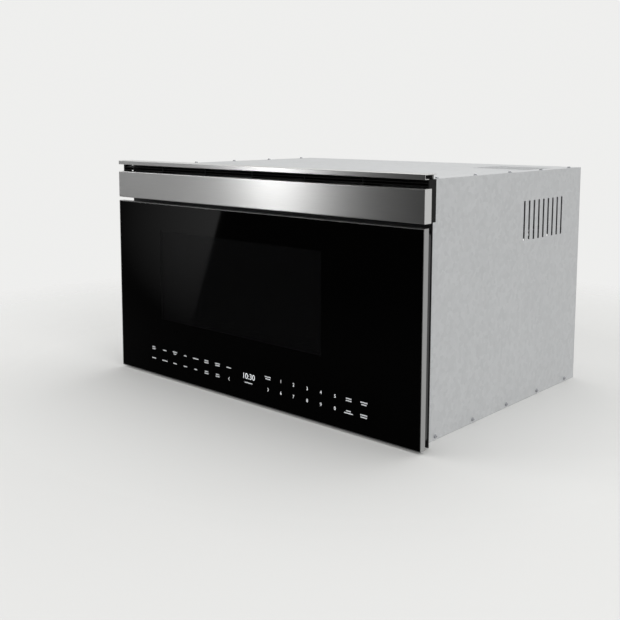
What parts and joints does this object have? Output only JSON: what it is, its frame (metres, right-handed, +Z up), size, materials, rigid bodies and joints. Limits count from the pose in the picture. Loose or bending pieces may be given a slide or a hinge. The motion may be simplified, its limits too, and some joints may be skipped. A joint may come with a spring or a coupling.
{
  "type": "microwave drawer",
  "caption": "Built-in microwave with a black glass drawer front under a stainless band and a vent slot; the front slides out on ball slides, driven by racks and a gear motor.",
  "frame": {"origin": "bottom centre of the closed oven's bounding box", "axes": "+X to the viewer's right across the front, +Y from the front to the back, +Z up"},
  "size_m": [0.759, 0.57, 0.435],
  "materials": {
    "stainless": "fine horizontal brushing",
    "trim_metal": "satin edge",
    "zinc_sheet": "zinc-coated sheet, faint spangle",
    "black_glass": "polished, printed black behind",
    "clear_glass": "polished",
    "black_paint": "satin black powder coat",
    "black_moulding": "fine grain",
    "cavity_paint": "light grey oven enamel",
    "screen_sheet": "black perforated sheet",
    "ceramic_plate": "smooth glaze",
    "mica": "mica board",
    "slide_steel": "bright zinc",
    "gear_plastic": "acetal",
    "machined_steel": "turned",
    "lamination": "varnished laminations",
    "winding": "enamelled copper wire",
    "circuit_board": "board with parts",
    "fin_aluminium": "mill finish",
    "motor_case": "plain",
    "white_moulding": "switch body",
    "bumper_rubber": "soft",
    "capacitor_can": "drawn can",
    "lamp": "lamp in its holder"
  },
  "bodies": {
    "chassis": {"base_pan": "zinc_sheet", "side_panel_left": "zinc_sheet", "side_panel_right": "zinc_sheet", "top_cover": "zinc_sheet", "rear_panel": "zinc_sheet", "cord_bushing": "black_moulding", "front_plate": "black_paint", "header_strip": "stainless", "header_band": "stainless", "header_housing": "black_moulding", "cavity_shell": "cavity_paint", "stirrer_cover": "mica", "stirrer_motor": "motor_case", "waveguide": "zinc_sheet", "magnetron_body": "zinc_sheet", "magnetron_fins": "fin_aluminium", "transformer_core": "lamination", "transformer_coils": "winding", "hv_capacitor": "capacitor_can", "noise_filter": "circuit_board", "power_board": "circuit_board", "oven_lamp": "lamp", "fan_shroud": "black_moulding", "fan_motor": "motor_case", "interlock_switches": "white_moulding", "interlock_brackets": "zinc_sheet", "slide_brackets": "zinc_sheet", "slides_fixed": "slide_steel", "shaft_bushes": "white_moulding", "shaft_brackets": "zinc_sheet", "drive_motor": "motor_case", "exhaust_duct": "zinc_sheet"},
    "drawer": {"front_glass": "black_glass", "glass_trim": "trim_metal", "door_frame": "black_paint", "door_back_panel": "black_paint", "choke_ring": "black_moulding", "rf_screen": "screen_sheet", "inner_glass": "clear_glass", "touch_board": "circuit_board", "tub": "cavity_paint", "tub_floor": "ceramic_plate", "switch_tongues": "black_moulding", "door_bumpers": "bumper_rubber", "drawer_arms": "zinc_sheet", "racks": "gear_plastic", "slides_inner": "slide_steel"},
    "slide_middles": {"slide_middle_left": "slide_steel", "slide_middle_right": "slide_steel"},
    "cages_outer": {"ball_cages_outer": "slide_steel"},
    "cages_inner": {"ball_cages_inner": "slide_steel"},
    "drive_shaft": {"cross_shaft": "machined_steel", "drive_pinions": "gear_plastic", "shaft_gear": "gear_plastic"},
    "motor_shaft": {"motor_pinion": "machined_steel"},
    "lever_left": {"interlock_lever_left": "slide_steel"},
    "lever_right": {"interlock_lever_right": "slide_steel"},
    "fan": {"fan_wheel": "black_moulding"},
    "stirrer": {"stirrer_blade": "fin_aluminium"}
  },
  "joints": [
    {"name": "drawer_slide", "type": "slide", "parent": "chassis", "child": "drawer", "axis": [0, -1, 0], "range_m": [0, 0.38]},
    {"name": "slide_middle_travel", "type": "slide", "parent": "chassis", "child": "slide_middles", "axis": [0, -1, 0], "range_m": [0, 0.19]},
    {"name": "cages_outer_travel", "type": "slide", "parent": "chassis", "child": "cages_outer", "axis": [0, -1, 0], "range_m": [0, 0.095]},
    {"name": "cages_inner_travel", "type": "slide", "parent": "chassis", "child": "cages_inner", "axis": [0, -1, 0], "range_m": [0, 0.285]},
    {"name": "cross_shaft_turn", "type": "hinge", "parent": "chassis", "child": "drive_shaft", "pos_m": [0, -0.21, 0.024], "axis": [1, 0, 0], "range_deg": [0, 1210]},
    {"name": "motor_pinion_turn", "type": "hinge", "parent": "chassis", "child": "motor_shaft", "pos_m": [0.0825, -0.177, 0.024], "axis": [1, 0, 0], "range_deg": [-2118, 0]},
    {"name": "lever_left_spring", "type": "hinge", "parent": "chassis", "child": "lever_left", "pos_m": [-0.348, -0.2187, 0.215], "axis": [0, 0, -1], "range_deg": [0, 14]},
    {"name": "lever_right_spring", "type": "hinge", "parent": "chassis", "child": "lever_right", "pos_m": [0.244, -0.2187, 0.215], "axis": [0, 0, -1], "range_deg": [0, 14]},
    {"name": "fan_spin", "type": "hinge", "parent": "chassis", "child": "fan", "pos_m": [0.273, 0.27, 0.232], "axis": [0, 1, 0], "continuous": true},
    {"name": "stirrer_spin", "type": "hinge", "parent": "chassis", "child": "stirrer", "pos_m": [-0.0375, -0.05995, 0.33], "axis": [0, 0, 1], "continuous": true}
  ],
  "couplings": [
    {"joint": "slide_middle_travel", "follows": "drawer_slide", "ratio": 0.5},
    {"joint": "cages_outer_travel", "follows": "drawer_slide", "ratio": 0.25},
    {"joint": "cages_inner_travel", "follows": "drawer_slide", "ratio": 0.75},
    {"joint": "cross_shaft_turn", "follows": "drawer_slide", "rad_per_m": 55.556},
    {"joint": "motor_pinion_turn", "follows": "drawer_slide", "rad_per_m": -97.222},
    {"joint": "lever_left_spring", "follows": "drawer_slide", "rad_per_m": 0.64},
    {"joint": "lever_right_spring", "follows": "drawer_slide", "rad_per_m": 0.64}
  ]
}
